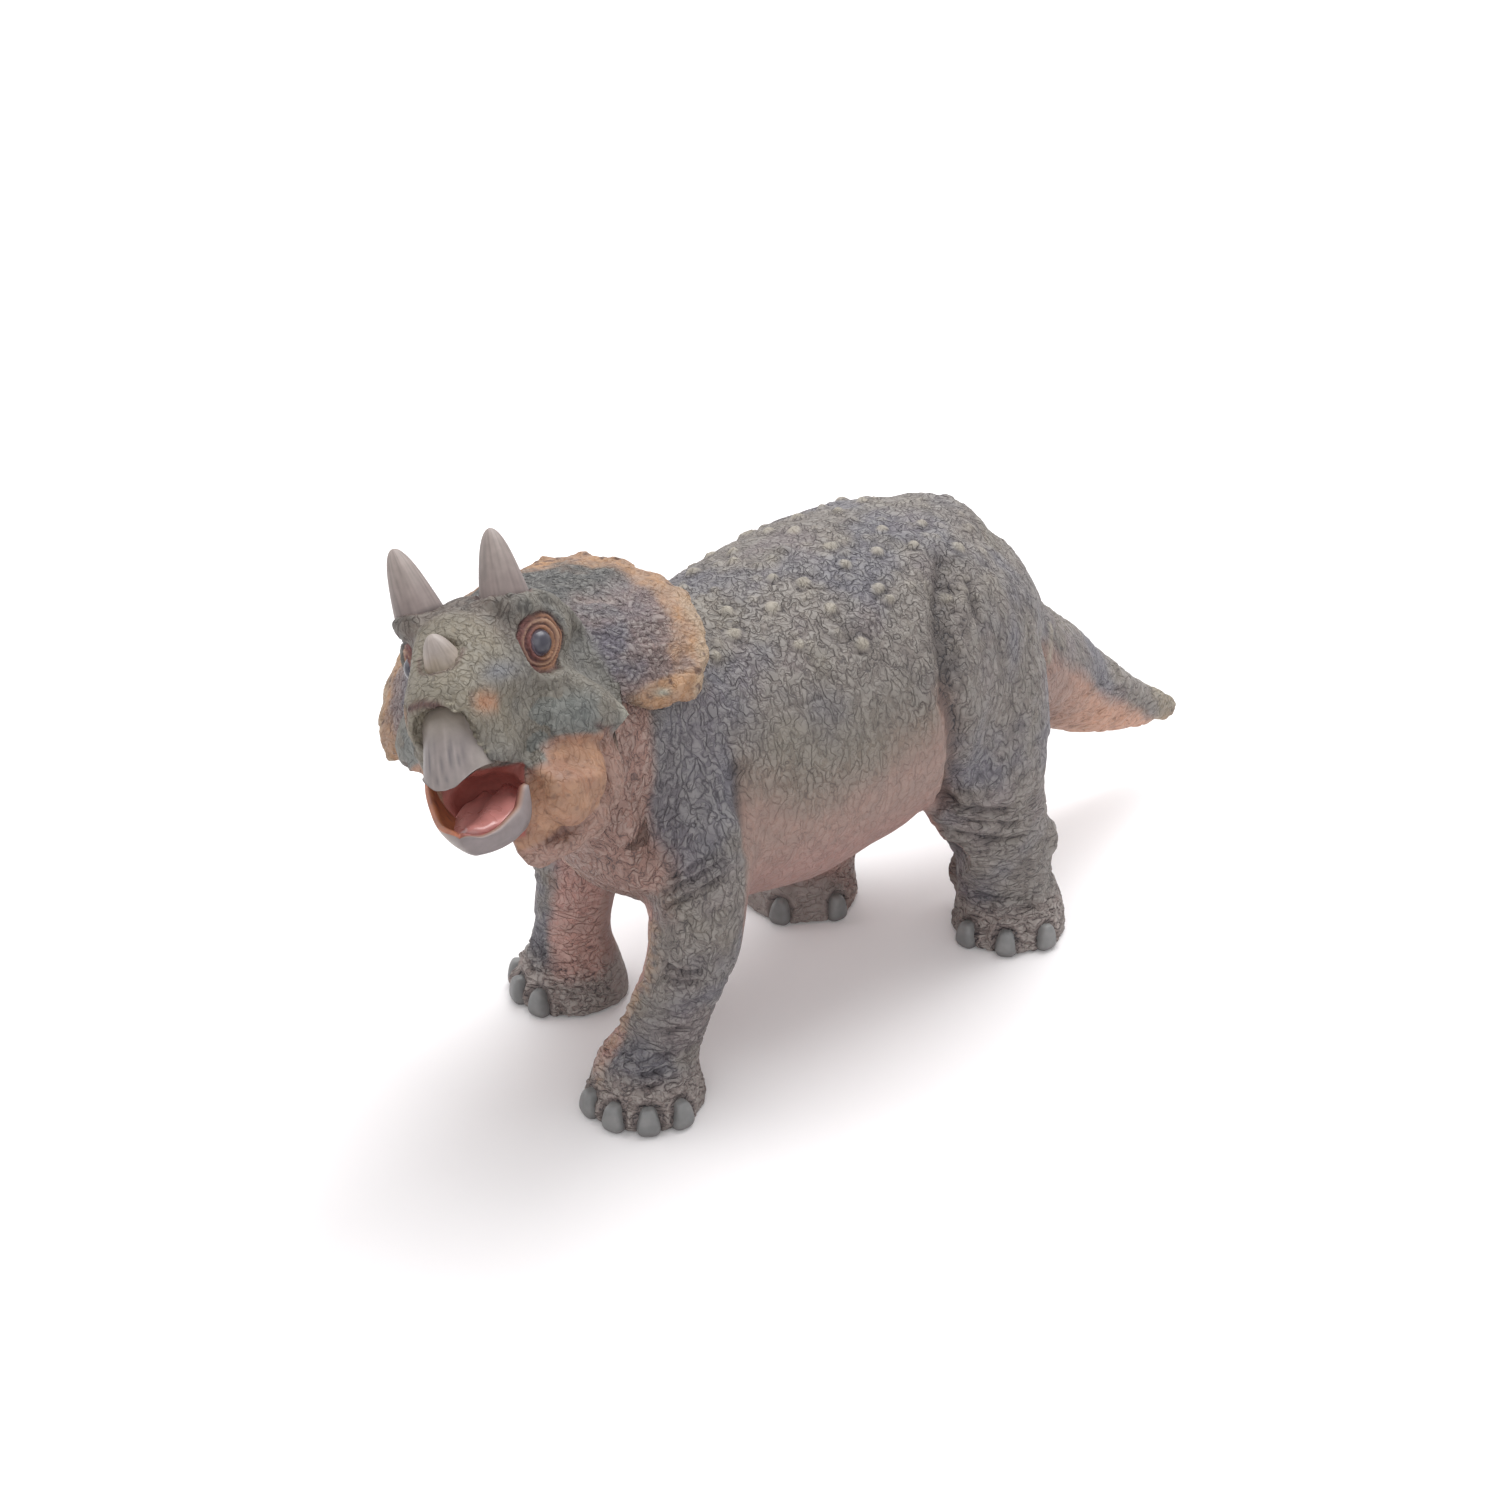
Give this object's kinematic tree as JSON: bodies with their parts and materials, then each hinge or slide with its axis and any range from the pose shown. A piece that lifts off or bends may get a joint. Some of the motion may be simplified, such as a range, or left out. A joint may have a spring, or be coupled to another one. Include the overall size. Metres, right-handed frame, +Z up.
{
  "type": "toy dinosaur figure",
  "caption": "Painted plastic figure of a young horned dinosaur with a frilled neck, walking on all fours with its mouth open.",
  "frame": {"origin": "on the ground, under the middle of the figure's overall box", "axes": "+Z up, -Y the way that the figure walks, +X its left side"},
  "size_m": [0.0359, 0.1153, 0.0596],
  "materials": {
    "skin": "painted grey green and blue, with a dark wash in the creases and a salmon belly",
    "horn": "painted warm grey, satin",
    "mouth": "painted dark red, wet look",
    "eye": "painted dark blue, glossy"
  },
  "bodies": {
    "root": {"torso": "skin", "tail": "skin", "leg_front_left": "skin", "leg_front_right": "skin", "leg_rear_left": "skin", "leg_rear_right": "skin", "skull": "skin", "brow_horn_left": "horn", "brow_horn_right": "horn", "nose_horn": "horn", "upper_beak": "horn", "lower_beak": "horn", "tongue": "mouth", "eye_left": "eye", "eye_right": "eye"}
  },
  "joints": []
}
